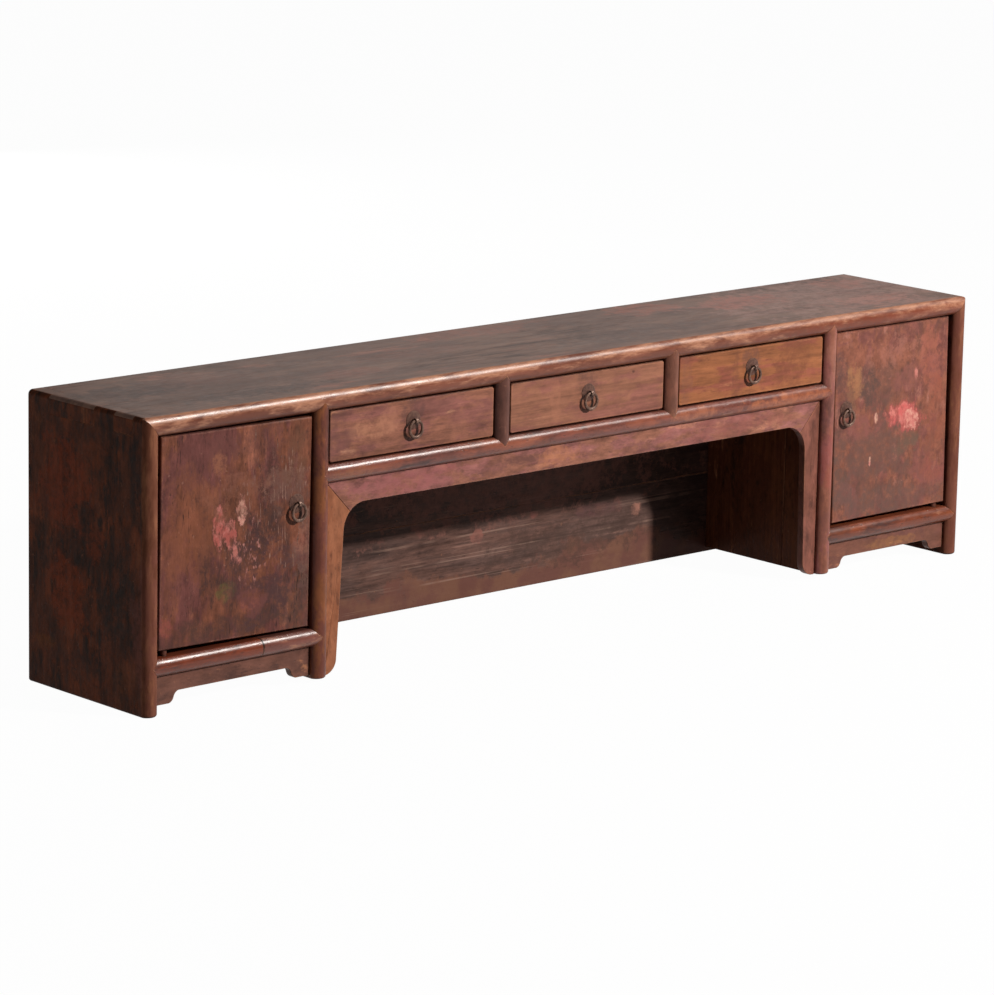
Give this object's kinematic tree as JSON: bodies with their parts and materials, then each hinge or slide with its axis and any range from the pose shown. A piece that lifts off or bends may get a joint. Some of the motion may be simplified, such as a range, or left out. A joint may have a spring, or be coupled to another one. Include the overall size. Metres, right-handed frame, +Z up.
{
  "type": "low cabinet",
  "caption": "Long low wooden cabinet with a hinged cupboard at each end and drawers over an open knee space, in worn red-brown lacquer with ring pulls.",
  "frame": {"origin": "on the floor, under the middle of the carcass", "axes": "+X to the right along the length, -Y out of the front, +Z up"},
  "size_m": [1.6, 0.261, 0.406],
  "materials": {
    "top_lacquer": "worn dark lacquer, satin",
    "end_lacquer": "dark, rubbed lacquer, satin",
    "frame_lacquer": "red-brown lacquer worn to the wood on the edges",
    "apron_lacquer": "worn pinkish red-brown lacquer",
    "door_lacquer": "mottled red-brown lacquer with traces of paint",
    "drawer_lacquer": "thin red-brown lacquer over straight grain",
    "bare_wood": "bare aged softwood",
    "back_wood": "stained and weathered boards",
    "partition_wood": "thin red-brown stain",
    "aged_brass": "dark patina"
  },
  "bodies": {
    "carcass": {"back_board_lower": "back_wood", "back_board_middle": "back_wood", "back_board_upper": "back_wood", "center_apron": "apron_lacquer", "drawer_deck": "bare_wood", "drawer_guides": "bare_wood", "drawer_rail": "frame_lacquer", "left_apron_leg": "apron_lacquer", "left_base_apron": "apron_lacquer", "left_base_rail": "frame_lacquer", "left_base_rail_splice": "frame_lacquer", "left_cupboard_floor": "bare_wood", "left_drawer_divider": "frame_lacquer", "left_end_board": "end_lacquer", "left_inner_post": "frame_lacquer", "left_partition": "partition_wood", "right_apron_leg": "apron_lacquer", "right_base_apron": "apron_lacquer", "right_base_rail": "frame_lacquer", "right_cupboard_floor": "bare_wood", "right_drawer_divider": "frame_lacquer", "right_end_board": "end_lacquer", "right_inner_post": "frame_lacquer", "right_partition": "partition_wood", "top_board": "top_lacquer"},
    "center_drawer": {"center_drawer_back": "bare_wood", "center_drawer_bottom": "bare_wood", "center_drawer_front": "drawer_lacquer", "center_drawer_pull_eye": "aged_brass", "center_drawer_pull_plate": "aged_brass", "center_drawer_sides": "bare_wood"},
    "center_drawer_ring": {"center_drawer_ring": "aged_brass"},
    "left_door": {"left_door_battens": "bare_wood", "left_door_panel": "door_lacquer", "left_door_pivots": "bare_wood", "left_door_pull_eye": "aged_brass", "left_door_pull_plate": "aged_brass"},
    "left_door_ring": {"left_door_ring": "aged_brass"},
    "left_drawer": {"left_drawer_back": "bare_wood", "left_drawer_bottom": "bare_wood", "left_drawer_front": "drawer_lacquer", "left_drawer_pull_eye": "aged_brass", "left_drawer_pull_plate": "aged_brass", "left_drawer_sides": "bare_wood"},
    "left_drawer_ring": {"left_drawer_ring": "aged_brass"},
    "right_door": {"right_door_battens": "bare_wood", "right_door_panel": "door_lacquer", "right_door_pivots": "bare_wood", "right_door_pull_eye": "aged_brass", "right_door_pull_plate": "aged_brass"},
    "right_door_ring": {"right_door_ring": "aged_brass"},
    "right_drawer": {"right_drawer_back": "bare_wood", "right_drawer_bottom": "bare_wood", "right_drawer_front": "drawer_lacquer", "right_drawer_pull_eye": "aged_brass", "right_drawer_pull_plate": "aged_brass", "right_drawer_sides": "bare_wood"},
    "right_drawer_ring": {"right_drawer_ring": "aged_brass"}
  },
  "joints": [
    {"name": "left_door_hinge", "type": "hinge", "parent": "carcass", "child": "left_door", "pos_m": [-0.757, -0.1115, 0.22], "axis": [0, 0, -1], "range_deg": [0, 110]},
    {"name": "right_door_hinge", "type": "hinge", "parent": "carcass", "child": "right_door", "pos_m": [0.757, -0.1115, 0.22], "axis": [0, 0, 1], "range_deg": [0, 110]},
    {"name": "left_drawer_slide", "type": "slide", "parent": "carcass", "child": "left_drawer", "axis": [0, -1, 0], "range_m": [0, 0.17]},
    {"name": "center_drawer_slide", "type": "slide", "parent": "carcass", "child": "center_drawer", "axis": [0, -1, 0], "range_m": [0, 0.17]},
    {"name": "right_drawer_slide", "type": "slide", "parent": "carcass", "child": "right_drawer", "axis": [0, -1, 0], "range_m": [0, 0.17]},
    {"name": "left_door_ring_swing", "type": "hinge", "parent": "left_door", "child": "left_door_ring", "pos_m": [-0.536, -0.1268, 0.2575], "axis": [-1, 0, 0], "range_deg": [0, 170]},
    {"name": "right_door_ring_swing", "type": "hinge", "parent": "right_door", "child": "right_door_ring", "pos_m": [0.5435, -0.1268, 0.2575], "axis": [-1, 0, 0], "range_deg": [0, 170]},
    {"name": "left_drawer_ring_swing", "type": "hinge", "parent": "left_drawer", "child": "left_drawer_ring", "pos_m": [-0.32875, -0.1278, 0.34745], "axis": [-1, 0, 0], "range_deg": [0, 170]},
    {"name": "center_drawer_ring_swing", "type": "hinge", "parent": "center_drawer", "child": "center_drawer_ring", "pos_m": [0.00375, -0.1278, 0.34745], "axis": [-1, 0, 0], "range_deg": [0, 170]},
    {"name": "right_drawer_ring_swing", "type": "hinge", "parent": "right_drawer", "child": "right_drawer_ring", "pos_m": [0.33625, -0.1278, 0.34745], "axis": [-1, 0, 0], "range_deg": [0, 170]}
  ]
}
